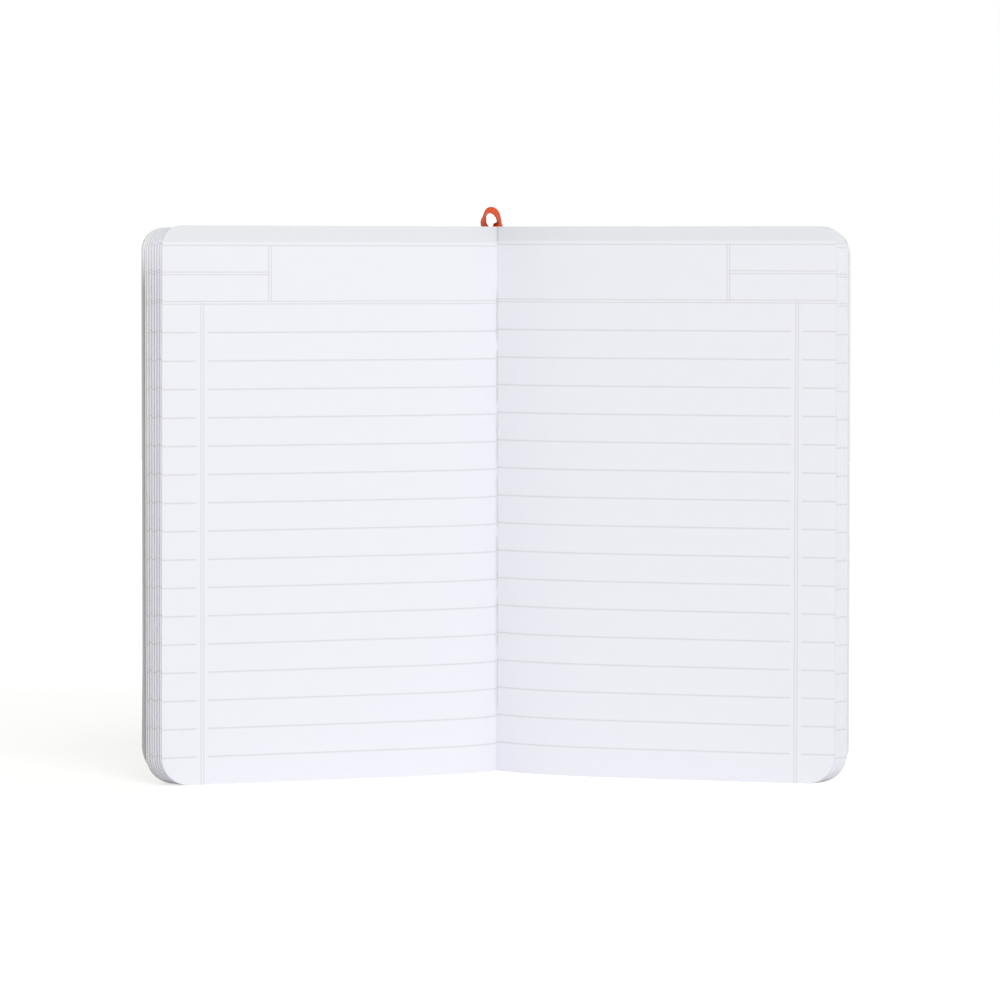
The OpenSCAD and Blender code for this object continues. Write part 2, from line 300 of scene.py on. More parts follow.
class Shader:
    """A material or world, with one method that makes its nodes."""

    def __init__(self, owner):
        self.owner = owner
        owner.use_nodes = True
        self.tree = owner.node_tree
        self.tree.nodes.clear()

    def node(self, kind, settings=None, values=None):
        """A node of this type, with its settings made first and then its sockets."""
        made = self.tree.nodes.new(kind)
        for name, value in (settings or {}).items():
            setattr(made, name, value)
        for name, value in (values or {}).items():
            socket = made.inputs[name]
            if isinstance(value, Wire):
                self.tree.links.new(value.socket, socket)
            elif socket.type == "RGBA" and len(value) == 3:
                socket.default_value = (*value, 1)
            else:
                socket.default_value = value
        return made

    def wire(self, made, output=0):
        """An output of a node, for expressions."""
        return Wire(self, made.outputs[output])

    def noise(self, place, scale, detail=2, roughness=0.5):
        """Noise from 0 to 1 at this many waves a metre."""
        return self.wire(self.node("ShaderNodeTexNoise", None, {
            "Vector": place, "Scale": scale, "Detail": detail, "Roughness": roughness}))

    def mix(self, share, a, b):
        """Colour a where share is 0 and b where it is 1."""
        made = self.node("ShaderNodeMix", {"data_type": "RGBA"}, {0: share, 6: a, 7: b})
        return self.wire(made, 2)

    def vary(self, share, tone, low, high=1.0):
        """The tone times low where share is 0, and times high where it is 1."""
        return self.mix(share, tinted(tone, low), tinted(tone, high))

    def point(self):
        """Place in the object's own axes, in metres."""
        return self.wire(self.node("ShaderNodeTexCoord"), "Object")

    def page_place(self):
        """Place on a sheet, in metres: out from the fold, and up."""
        return self.wire(self.node("ShaderNodeUVMap", {"uv_map": PAGE_MAP}))

    def split(self, vector):
        """The three numbers of a vector."""
        made = self.node("ShaderNodeSeparateXYZ", None, {0: vector})
        return [self.wire(made, i) for i in range(3)]

    def stretched(self, vector, x, y, z):
        """The vector with each axis multiplied."""
        made = self.node("ShaderNodeVectorMath", {"operation": "MULTIPLY"},
                         {0: vector, 1: (x, y, z)})
        return self.wire(made)

    def surface(self, tone, roughness, specular, relief, depth):
        """Closes the material with a Principled shader, on a relief that is this many
        millimetres deep, and gives the material."""
        bump = self.node("ShaderNodeBump", None, {
            "Height": relief, "Distance": depth * MM, "Strength": 1.0})
        made = self.node("ShaderNodeBsdfPrincipled", None, {
            "Base Color": tone, "Roughness": roughness, "Specular IOR Level": specular,
            "Normal": self.wire(bump)})
        self.node("ShaderNodeOutputMaterial", None, {"Surface": self.wire(made)})
        return self.owner


def new_shader(name):
    """A shader for a new material of this name."""
    return Shader(bpy.data.materials.new(name))


def sizes():
    return bpy.context.scene.notebook_sizes


def print_places():
    return bpy.context.scene.notebook_print


def colours():
    return bpy.context.scene.notebook_colours


def signature_t():
    """Thickness of one signature."""
    return sizes().leaves * sizes().leaf_t


def cover_h():
    """Height of the cover."""
    return sizes().page_h - sizes().cover_short


def endpaper_room():
    """Room that an endpaper's two halves take between the pages and the cover."""
    z = sizes()
    return z.endpaper_t * 2 + z.endpaper_gap


class Side:
    """One side of the opening: where a sheet lies in plan, as in the CAD source."""

    STEP = 0.1 * MM
    FURTHEST = 110 * MM

    def __init__(self, name, board, direction):
        z = sizes()
        self.name, self.board, self.direction = name, board, direction
        self.body = board + "_board"
        self.lean, self.fold, self.bend = self.own("lean"), self.own("fold"), self.own("bend")
        self.ease = z.bend_ease
        self.signatures = self.own("signatures")
        self.stack = signature_t() / 2 + self.signatures * signature_t()
        self.past = getattr(z, board + "_past")
        self.skews = self.own("skew"), getattr(z, board + "_skew")
        self.drop, self.flare = (z.left_drop, z.front_flare) if name == "left" else (0.0, 0.0)
        self.line = [(0.0, 0.0)]
        for i in range(int(self.FURTHEST / self.STEP)):
            a = self.slope((i + 0.5) * self.STEP)
            x, y = self.line[-1]
            dx, dy = self.along(a)
            self.line.append((x + dx * self.STEP, y + dy * self.STEP))

    def own(self, key, group=None):
        """This side's own value of that name, from the sizes or from another group."""
        return getattr(sizes() if group is None else group, f"{self.name}_{key}")

    def slope(self, s):
        """Slope at distance s from the fold."""
        share = max(0.0, 1 - s / self.bend) ** self.ease
        return self.lean + (self.fold - self.lean) * share

    def along(self, a):
        """Direction out along a sheet of this slope."""
        return self.direction * math.cos(a), -math.sin(a)

    def through(self, a):
        """Direction through a sheet of this slope, to the cover."""
        return self.direction * math.sin(a), math.cos(a)

    def place(self, s, depth):
        """Point in plan at distance s from the fold and this depth behind the page."""
        at = s / self.STEP
        i = min(int(at), len(self.line) - 2)
        k = at - i
        x, y = (self.line[i][n] * (1 - k) + self.line[i + 1][n] * k for n in (0, 1))
        tx, ty = self.through(self.slope(s))
        return x + depth * tx, y + depth * ty

    def edge(self, width, depth):
        """Where a sheet of this width ends at this depth: the deeper ones reach further."""
        return width + depth * (self.fold - self.lean)

    def reach(self, s, depth):
        """Length of a sheet at this depth from the fold to distance s."""
        return s - depth * (self.fold - self.slope(s))

    def head_corner(self, depth):
        """Radius of a leaf's corner at the head: the die cut the deeper ones rounder."""
        z = sizes()
        share = min(1.0, depth / self.stack)
        return z.page_head_r + (self.own("deep_r") - z.page_head_r) * share

    def skewed(self, s, depth, up, flare=0.0):
        """How far a sheet is pushed out towards the foot and in towards the head. A splayed
        board goes out by the flare as well, near its foot."""
        z = sizes()
        page, board = self.skews
        most = page + (board - page) * min(1.0, depth / self.stack)
        out = most * (s / z.page_w) ** 4 * (1 - 2 * up / z.page_h)
        out += flare * (s / z.page_w) ** 8 * math.exp(-((up - z.flare_up) / z.flare_fade) ** 2)
        ax, ay = self.along(self.slope(s))
        return out * ax, out * ay

    def flyleaf_sway(self, st, up):
        """Skew of the flyleaf at a station."""
        return self.skewed(st.place, self.stack, up)

    def board_sway(self, st, up):
        """Skew and flare of the board and of what is pasted to it."""
        return self.skewed(st.place, self.stack, up, self.flare)


def both_sides():
    """The left and the right side of the opening."""
    return Side("left", "front", -1), Side("right", "back", 1)


# Faces that meet at less than this angle are shaded as one smooth surface.
SMOOTH_BELOW = math.radians(35)


def add_object(name, bm, materials):
    """A mesh object from a bmesh, smooth where its faces nearly line up."""
    data = bpy.data.meshes.new(name)
    bm.to_mesh(data)
    bm.free()
    for material in materials:
        data.materials.append(material)
    made = bpy.data.objects.new(name, data)
    bpy.context.scene.collection.objects.link(made)
    data.shade_smooth()
    data.set_sharp_from_angle(angle=SMOOTH_BELOW)
    return made


def oriented(bm):
    """Turns all the faces outwards."""
    bmesh.ops.recalc_face_normals(bm, faces=bm.faces)


def add_piece(name, bm, materials, body, node):
    """A piece that rides on its body and stands for its CAD node."""
    oriented(bm)
    made = add_object(name, bm, materials)
    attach(made, body)
    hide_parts(node)


class Station:
    """One upright line of a sheet: its point in plan, its facing, and its ends."""

    def __init__(self, point, facing, place, top, foot=0.0, sway=None):
        self.point, self.facing, self.place = point, facing, place
        self.top, self.foot, self.sway = top, foot, sway

    def height(self, share):
        """Height at this share of the way from the foot to the top."""
        return self.foot + (self.top - self.foot) * share


# Stations round a corner, and how much closer those of the bend stand at the fold.
CORNER_STATIONS = 9
CROWDING = 1.35


def corner_rise(radius, e):
    """How far a rounded corner cuts in at distance e from the fore-edge."""
    if e >= radius:
        return 0.0
    return radius - math.sqrt(max(0.0, radius * radius - (radius - e) ** 2))


def columns(side, end, corner_r, flat_steps, bend_steps):
    """Distances from the fold at which a sheet gets a station, closest at the fold."""
    bend = [side.bend * (i / bend_steps) ** CROWDING for i in range(bend_steps + 1)]
    flat = [side.bend + (end - corner_r - side.bend) * i / flat_steps
            for i in range(1, flat_steps + 1)]
    corner = [end - corner_r * (1 - math.sin(math.pi / 2 * i / CORNER_STATIONS))
              for i in range(1, CORNER_STATIONS + 1)]
    return bend + flat + corner


def leaf_stations(side, depth, facing, end, height, head_r, foot_r, z0=0.0,
                  flat_steps=6, bend_steps=14, sway=None, first=0.0):
    """Stations of one leaf from the fold, or from distance first, to its fore-edge at end."""
    out = []
    for s in columns(side, end, max(head_r, foot_r), flat_steps, bend_steps):
        if s < first:
            continue
        tx, ty = side.through(side.slope(s))
        e = end - s
        out.append(Station(side.place(s, depth), (facing * tx, facing * ty),
                           side.reach(s, depth), z0 + height - corner_rise(head_r, e),
                           z0 + corner_rise(foot_r, e), sway))
    return out


def turn_stations(middle, radius, spokes, facing, height):
    """Stations of a sheet where it runs round a fold, at these directions from its middle."""
    return [Station((middle[0] + radius * nx, middle[1] + radius * ny),
                    (facing * nx, facing * ny), 0, height) for nx, ny in spokes]


def add_sheet(bm, line, thickness, rows, shifts=((0.0, 0.0), (0.0, 0.0)), edges=(1, 1, 1, 1)):
    """Adds a closed sheet along a line of stations. Its cut edges, which are the first, the
    last, the foot and the head, take these material numbers.
    The shifts are how far the print of the left and of the right half is off its place,
    towards the fold and down."""
    layer = bm.loops.layers.uv.get(PAGE_MAP) or bm.loops.layers.uv.new(PAGE_MAP)

    def skin(off):
        """Vertices of the sheet's face that lies this far off its middle."""
        uprights = []
        for st in line:
            upright = []
            for r in range(rows + 1):
                z = st.height(r / rows)
                dx, dy = st.sway(st, z) if st.sway else (0.0, 0.0)
                upright.append(bm.verts.new((st.point[0] + off * st.facing[0] + dx,
                                             st.point[1] + off * st.facing[1] + dy, z)))
            uprights.append(upright)
        return uprights

    front, back = skin(thickness / 2), skin(-thickness / 2)
    places = []
    for st in line:
        inwards, down = shifts[0] if st.point[0] < 0 else shifts[1]
        places.append([(st.place + inwards, st.height(r / rows) + down)
                       for r in range(rows + 1)])

    def quad(corners, marks, material):
        """One face with its places on the page."""
        face = bm.faces.new(corners)
        face.material_index = material
        for loop, mark in zip(face.loops, marks):
            loop[layer].uv = mark

    last = len(line) - 1
    for i in range(last):
        for r in range(rows):
            marks = (places[i][r], places[i + 1][r], places[i + 1][r + 1], places[i][r + 1])
            quad((front[i][r], front[i + 1][r], front[i + 1][r + 1], front[i][r + 1]),
                 marks, 0)
            quad((back[i][r + 1], back[i + 1][r + 1], back[i + 1][r], back[i][r]),
                 marks[::-1], 0)
    for i in range(last):
        for r, a, b, edge in ((0, back, front, edges[2]), (rows, front, back, edges[3])):
            quad((a[i][r], a[i + 1][r], b[i + 1][r], b[i][r]),
                 (places[i][r], places[i + 1][r], places[i + 1][r], places[i][r]), edge)
    for r in range(rows):
        for i, a, b, edge in ((0, front, back, edges[0]), (last, back, front, edges[1])):
            quad((a[i][r], a[i][r + 1], b[i][r + 1], b[i][r]),
                 (places[i][r], places[i][r + 1], places[i][r + 1], places[i][r]), edge)


def single_sheet(line, thickness, rows):
    """A new bmesh with one closed sheet."""
    bm = bmesh.new()
    add_sheet(bm, line, thickness, rows)
    return bm


def paper_material():
    """Printed paper: rules placed from the fore-edge and the head, faint fibres, and painted shade
    in the crease of the open fold.
    """
    z, p, c = sizes(), print_places(), colours()
    sh = new_shader("ruled_paper")
    u, v, _ = sh.split(sh.page_place())
    out = (z.page_w - u) / MM
    down = (z.page_h - v) / MM
    mm = {key: getattr(p, key) / MM for key in (
        "band", "head_rule", "box_rule", "title_rule", "first_line", "line_pitch",
        "box_side", "margin", "margin_clear", "double_gap", "thin", "broad", "soft")}
    soft, thin = mm["soft"], mm["thin"]
    ruled_ink, double_ink = 0.68, 0.78
    turn = (down - mm["first_line"]) / mm["line_pitch"]
    near = (abs((turn + 0.5).fract() - 0.5)) * mm["line_pitch"]
    last = mm["first_line"] + (p.lines - 1) * mm["line_pitch"]
    ruled = near.stroke(0, mm["broad"], soft) * ruled_ink
    ruled = ruled * (down > mm["first_line"] - 1) * (down < last + 1)
    ruled = ruled * (abs(out - mm["margin"]) > mm["margin_clear"])
    half = mm["double_gap"] / 2

    def double(distance, name):
        """Both lines of a double rule."""
        return distance.stroke(mm[name] - half, thin, soft) | distance.stroke(
            mm[name] + half, thin, soft)

    title = double(down, "title_rule")
    head = down.stroke(mm["head_rule"], thin, soft)
    box = double(down, "box_rule") * (out < mm["box_side"])
    side = double(out, "box_side") * (down > mm["head_rule"]) * (down < mm["title_rule"])
    margin = double(out, "margin") * (down > mm["title_rule"])
    ink = ruled | (title | head | box | side | margin) * double_ink
    point = sh.point()
    patchy = sh.noise(point, 900, 3)
    ink = ink * (0.82 + 0.3 * patchy)
    # Painted shade along the crease of the open fold, stronger across the band at the head.
    fold = 1 - (abs(u) / MM).between(0.04, 0.26)
    band = 1 - down.between(mm["band"] - 0.06, mm["band"] + 0.06)
    fibre = sh.noise(sh.stretched(point, 1, 1, 0.35), 5200, 4, 0.65)
    cloud = sh.noise(point, 60, 2)
    tone = sh.vary(0.5 * (fibre - 0.5) + 0.5, c.paper, 0.988, 1.006)
    tone = sh.mix(0.35 * cloud, tone, tinted(c.paper, 0.985))
    tone = sh.mix(band * (0.93 + 0.1 * patchy), tone, c.band)
    tone = sh.mix(ink, tone, c.ink)
    tone = sh.mix(fold * (0.14 + 0.6 * band), tone, c.fold)
    relief = fibre + 0.4 * sh.noise(point, 1500, 3)
    return sh.surface(tone, 0.86 + 0.08 * fibre, 0.25, relief, 0.012)


# Painted shade below the head corner, in millimetres below the head: where it starts, and where it
# is full.
SHADE_START, SHADE_FULL = 6, 17
# Darkening of the deep leaves' edges towards the foot, in millimetres above the foot: where it
# starts, and where it is full. It makes the shaded tone this dark.
FOOT_DARK_START, FOOT_DARK_FULL = 104, 58
FOOT_DARK = 0.62
# Rims of painted shade on the front endpaper and of painted light on the back card, in millimetres
# from the fore-edge: how far in they reach, and how far in they are full.
SHADED_ENDPAPER_RIM, LIT_CARD_RIM, RIM_FULL = 0.9, 1.1, 0.5
# Worn ends of the card, in millimetres from its head and foot.
CARD_ENDS = 2.2


def shade_below_head(sh):
    """Mask of painted shade: 1 below the head corners, and 0 at the head, which stays as lit."""
    head = sizes().page_h / MM
    return 1 - (sh.split(sh.point())[2] / MM).between(head - SHADE_FULL, head - SHADE_START)


def fore_rim(sh, width):
    """1 along the fore-edge of a sheet, and 0 this many millimetres in from it."""
    page = sizes().page_w / MM
    return (sh.split(sh.page_place())[0] / MM).between(page - width, page - RIM_FULL)


def edge_material(name, tone, streak=0.95, painted_shade=None, foot_dark=1.0):
    """Cut edge of paper or card: soft, with the knife's faint streaks, and with a tone of painted
    shade below the head corner if that is given. That tone gets darker still towards the foot, by
    the given factor."""
    sh = new_shader(name)
    point = sh.point()
    fibre = sh.noise(sh.stretched(point, 1, 1, 0.2), 6000, 3, 0.6)
    knife = sh.noise(sh.stretched(point, 1, 1, 6), 260, 2)
    shade = sh.vary(fibre * 0.7 + knife * 0.3, tone, streak)
    if painted_shade is not None:
        low = 1 - (sh.split(point)[2] / MM).between(FOOT_DARK_FULL, FOOT_DARK_START)
        shade = sh.mix(shade_below_head(sh), shade, sh.vary(low, painted_shade, 1.0, foot_dark))
    return sh.surface(shade, 0.9, 0.2, fibre, 0.02)


def endpaper_material(name, painted_shade=False):
    """Plain laid endpaper with a fine fibre, and with painted shade along its fore-edge below the
    head if that is asked.
    """
    c = colours()
    sh = new_shader(name)
    point = sh.point()
    fibre = sh.noise(sh.stretched(point, 1, 1, 0.4), 4200, 4, 0.6)
    cloud = sh.noise(point, 90, 2)
    tone = sh.vary(fibre, c.endpaper, 0.965)
    tone = sh.mix(0.3 * cloud, tone, tinted(c.endpaper, 0.96))
    if painted_shade:
        tone = sh.mix(fore_rim(sh, SHADED_ENDPAPER_RIM) * shade_below_head(sh), tone, c.shaded_card)
    return sh.surface(tone, 0.85 + 0.1 * fibre, 0.25, fibre, 0.015)


def card_material():
    """Cover card: smooth matt stock with a fine pressed grain. It is worn pale at its head and
    foot, and painted pale along the back cover's fore-edge, as painted light."""
    c = colours()
    sh = new_shader("cover_card")
    point = sh.point()
    grain = sh.noise(point, 2300, 3, 0.55)
    pores = sh.wire(sh.node("ShaderNodeTexVoronoi", None,
                            {"Vector": point, "Scale": 2600.0}), "Distance")
    cloud = sh.noise(point, 45, 3)
    x, _, up = sh.split(point)
    top = cover_h() / MM
    # Painted light: a pale rim along the back cover's fore-edge.
    lit_rim = fore_rim(sh, LIT_CARD_RIM) * (x > 0)
    ends = (1 - (up / MM).between(0, CARD_ENDS)) | (up / MM).between(top - CARD_ENDS, top)
    tone = sh.vary(grain, c.card, 0.93, 1.03)
    tone = sh.mix(0.35 * cloud, tone, tinted(c.card, 0.94))
    tone = sh.mix(ends * (0.25 + 0.4 * sh.noise(point, 500, 3)) | lit_rim, tone, c.card_edge)
    relief = 0.6 * pores + 0.5 * grain
    return sh.surface(tone, 0.58 + 0.14 * grain + 0.06 * cloud, 0.4, relief, 0.03)


def cloth_material():
    """Lining cloth: a plain weave from two crossing waves."""
    threads_a_metre = 1400
    sh = new_shader("lining_cloth")
    x, y, up = sh.split(sh.point())
    turn = 2 * math.pi * threads_a_metre
    weave = (up * turn).sine() * ((x + 0.4 * y) * turn).sine()
    fuzz = sh.noise(sh.point(), 3000, 3)
    relief = weave * 0.5 + 0.5 + 0.4 * fuzz
    shade = sh.vary(weave * 0.35 + 0.5 + 0.15 * fuzz, colours().lining, 0.82)
    return sh.surface(shade, 0.92, 0.2, relief, 0.03)


def thread_material():
    """Waxed thread with its fuzz."""
    sh = new_shader("thread")
    fuzz = sh.noise(sh.stretched(sh.point(), 1, 1, 0.3), 9000, 3)
    tone = sh.vary(fuzz, colours().thread, 0.9)
    return sh.surface(tone, 0.6 + 0.2 * fuzz, 0.35, fuzz, 0.02)


def ribbon_material():
    """Satin: fine ribs across, long shining floats along, and woven borders. Its colour holds
    painted sheen on the floats and flecks, and painted shade between the ribs and at the borders,
    which are also darker from their weave.
    """
    ribs_a_mm = 5.5
    c = colours()
    sh = new_shader("ribbon")
    uv = sh.page_place()
    across, run, _ = sh.split(uv)
    rib = (run / MM * (2 * math.pi * ribs_a_mm)).sine() * 0.5 + 0.5
    floats = sh.noise(sh.stretched(uv, 1, 0.12, 1), 9000, 3)
    border = abs(across / MM).between(0.84, 1.06)
    sheen_fleck = sh.noise(sh.stretched(uv, 1, 0.5, 1), 2500, 2)
    shine = (floats - 0.5) * 1.8 + 0.5
    # Painted shade between the ribs and painted sheen on the floats; then painted glints, and
    # painted shade at the borders.
    tone = sh.mix(0.25 * rib + 0.55 * shine, c.ribbon_shade, c.ribbon)
    tone = sh.mix(0.4 * sheen_fleck.between(0.4, 0.65), tone, c.ribbon_sheen)
    tone = sh.mix(0.75 * border, tone, c.ribbon_shade)
    relief = rib * 0.6 + floats * 0.5
    return sh.surface(tone, 0.4 + 0.16 * rib + 0.1 * border, 0.26, relief, 0.02)


# How far the leaves wave together, how far one curls by itself, and how far its edge slips.
WAVE, CURL, SLIP = 0.02 * MM, 0.012 * MM, 0.018 * MM
# Millimetres a radian of the waves, outwards and upwards, least and most, and of the curl.
WAVE_OUT, WAVE_UP, CURL_UP = (18, 46), (30, 80), 17
# Millimetres from the fold in which the waves grow, and what they lose at the cover.
WAVE_GROWS, WAVE_LOST = 25, 0.85
# Where a wave may start, in its turn, and where on a page's width the curl does.
TURN, CURL_START = 6.28, 0.4
# Share of its room that the paper of a leaf and of an endpaper fills, and share of the
# leaves' usual room that the open sheets take.
PAPER_SHARE, ENDPAPER_SHARE, OPEN_SHARE = 0.97, 0.96, 0.9


def block_sway(side, seed):
    """A slow wave that all the leaves of a side share. It dies away towards the cover."""
    rnd = random.Random(seed)
    waves = [(rnd.uniform(*WAVE_OUT), rnd.uniform(0, TURN), rnd.uniform(*WAVE_UP),
              rnd.uniform(0, TURN)) for _ in range(3)]

    def sway(depth, st, z):
        """How far a leaf at this depth is pushed through at a station and height."""
        s, up = st.place / MM, z / MM
        amount = WAVE * min(1, s / WAVE_GROWS) * (1 - WAVE_LOST * depth / side.stack)
        height = sum(math.sin(s / a + b + up / c + d) for a, b, c, d in waves)
        tx, ty = side.through(side.slope(st.place))
        return height * amount * tx, height * amount * ty

    return sway


class NOTEBOOK_OT_pages(bpy.types.Operator):
    """Builds the leaves: each signature's folded sheets, with their rules and cut edges"""

    bl_idname = "notebook.pages"
    bl_label = "Pages"

    def execute(self, context):
        z, p, c = sizes(), print_places(), colours()
        left, right = both_sides()
        sig = signature_t()
        # The left leaves' cut edges take painted shade below the head corner.
        materials = (paper_material(),
                     edge_material("left_paper_edge", c.cut, painted_shade=c.shaded_cut),
                     edge_material("right_paper_edge", c.cut),
                     edge_material("left_deep_edge", c.cut, painted_shade=c.shaded_cut, foot_dark=FOOT_DARK))
        # Material numbers of the cut edges, and how many signatures have the one that darkens
        # towards the foot
        painted_shade, clean, foot_dark = 1, 2, 3
        foot_dark_signatures = 2
        waves = {left: block_sway(left, 3), right: block_sway(right, 8)}
        rnd = random.Random(21)

        def leaf(side, depth, middle, facing, height, fine=1, slip=0.0):
            """One leaf of the block, from the fold out, in the signature at depth middle."""
            end = side.edge(z.page_w + slip, middle + side.own("shear") * (depth - middle))
            ripple = rnd.uniform(0, TURN)

            def sway(st, up):
                """Wave, skew and curl of this leaf."""
                dx, dy = waves[side](depth, st, up)
                kx, ky = side.skewed(st.place, depth, up)
                far = max(0.0, st.place / z.page_w - CURL_START) / (1 - CURL_START)
                curl = CURL * min(1.0, far) ** 2 * math.sin(up / MM / CURL_UP + ripple)
                tx, ty = side.through(side.slope(st.place))
                return dx + kx + curl * tx, dy + ky + curl * ty

            return leaf_stations(side, depth, facing, end, height, side.head_corner(middle),
                                 z.page_foot_r, flat_steps=6 * fine,
                                 bend_steps=14 * fine, sway=sway)

        def add_leaves(name, bm):
            """A piece of the page block."""
            add_piece(name, bm, materials, BLOCK, "page_block")

        half = z.leaves // 2
        rows = 10
        turn_steps = 6

        # The open signature: each sheet runs from the left fore-edge round the fold to the right.
        start, stop = (math.atan2(*side.through(side.fold)[::-1]) for side in (left, right))
        angles = [start + (stop - start) * i / turn_steps for i in range(1, turn_steps)]
        spokes = [(math.cos(t), math.sin(t)) for t in angles]
        for first, end, name in ((0, 1, "open_sheet"), (1, half, "open_signature")):
            bm = bmesh.new()
            for j in range(first, end):
                depth = (j + 0.5) * OPEN_SHARE * z.leaf_t
                fine = 3 if j == 0 else 1
                a = leaf(left, depth, sig / 4, -1, z.page_h, fine)
                b = leaf(right, depth, sig / 4, -1, z.page_h, fine)
                turn = turn_stations((0.0, 0.0), depth, spokes, -1, z.page_h)
                off = 0.0 if j == 0 else rnd.uniform(-1, 1) * p.open_drift
                add_sheet(bm, a[::-1] + turn + b, OPEN_SHARE * PAPER_SHARE * z.leaf_t,
                          rows * fine, ((0.0, off), (-p.right_out, off - p.right_up)),
                          (clean,) * 4)
            add_leaves(name, bm)

        # Whole signatures: each sheet runs in, round the fold at the spine, and out again.
        angles = [math.pi * i / turn_steps for i in range(1, turn_steps)]
        for side in (left, right):
            tx, ty = side.through(side.fold)
            ax, ay = side.along(side.fold)
            spokes = [(-math.cos(t) * tx - math.sin(t) * ax,
                       -math.cos(t) * ty - math.sin(t) * ay) for t in angles]
            pitch = side.own("pressed") * z.leaf_t
            tall = z.page_h - side.drop
            for n in range(side.signatures):
                bm = bmesh.new()
                mid = sig / 2 + n * sig + sig / 2
                low = side.own("low", p) + rnd.uniform(-1, 1) * side.own("drift", p)
                deep = n >= side.signatures - foot_dark_signatures
                cut = clean if side is right else foot_dark if deep else painted_shade
                for j in range(half):
                    r = (half - j - 0.5) * pitch
                    slip = rnd.uniform(-1, 1) * SLIP
                    a = leaf(side, mid - r, mid, -1, tall, 1, slip)
                    b = leaf(side, mid + r, mid, 1, tall, 1, slip)
                    turn = turn_stations((mid * tx, mid * ty), r, spokes, 1, tall)
                    off = (0.0, low + rnd.uniform(-1, 1) * p.leaf_drift)
                    add_sheet(bm, a[::-1] + turn + b, PAPER_SHARE * pitch, rows, (off, off),
                              (cut, cut, cut, clean))
                add_leaves(f"{side.name}_signature_{n + 1}", bm)
        return {"FINISHED"}


class NOTEBOOK_OT_endpapers(bpy.types.Operator):
    """Builds the flyleaves and the halves of the endpapers that are pasted to the cover"""

    bl_idname = "notebook.endpapers"
    bl_label = "Endpapers"

    def execute(self, context):
        z, c = sizes(), colours()
        left, right = both_sides()
        plain = (endpaper_material("endpaper"), edge_material("endpaper_edge", c.endpaper))
        # The front endpaper's fore-edge rim and cut edge take painted shade below the head.
        painted_shade = (endpaper_material("front_endpaper", True),
                  edge_material("front_endpaper_edge", c.endpaper, painted_shade=c.shaded_card))
        paper_t, rows = ENDPAPER_SHARE * z.endpaper_t, 6
        for side, pasted in ((left, painted_shade), (right, plain)):
            fly = side.stack + z.endpaper_t / 2
            line = leaf_stations(side, fly, -1, side.edge(z.page_w, fly),
                                 z.page_h - side.drop, side.own("deep_r"), z.page_foot_r,
                                 sway=side.flyleaf_sway)
            add_piece(f"{side.board}_flyleaf_sheet", single_sheet(line, paper_t, rows), plain,
                      BLOCK, f"{side.board}_flyleaf")
            paste = fly + z.endpaper_t + z.endpaper_gap
            end = side.edge(z.page_w + side.past, paste) - z.paste_margin
            line = leaf_stations(side, paste, -1, end, cover_h() - 2 * z.paste_margin,
                                 side.own("deep_r"), z.cover_foot_r, z.paste_margin,
                                 sway=side.board_sway)
            add_piece(f"{side.board}_pasted_sheet", single_sheet(line, paper_t, rows), pasted,
                      side.body, f"{side.board}_pastedown")
        return {"FINISHED"}


def spine_arc():
    """Centre, radius, turn and half angle of the spine strip's outer face, and both creases."""
    z = sizes()
    left, right = both_sides()
    card = endpaper_room() + z.cover_t
    a = Vector(left.through(left.fold)) * (left.stack + card)
    b = Vector(right.through(right.fold)) * (right.stack + card)
    span = (b - a).length
    radius = ((span / 2) ** 2 + z.spine_bow ** 2) / (2 * z.spine_bow)
    turn = math.atan2(b.y - a.y, b.x - a.x)
    middle = (a + b) / 2 + (z.spine_bow - radius) * Vector((-math.sin(turn), math.cos(turn)))
    return middle, radius, turn, math.asin(span / 2 / radius), a, b


def stepped_card(bm):
    """Gives the cut edges of a card a fine square step."""
    oriented(bm)
    sharp = math.radians(50)
    hard = [e for e in bm.edges if len(e.link_faces) == 2 and e.calc_face_angle(0) > sharp]
    bmesh.ops.bevel(bm, geom=hard, offset=sizes().cover_step, segments=2, affect="EDGES")


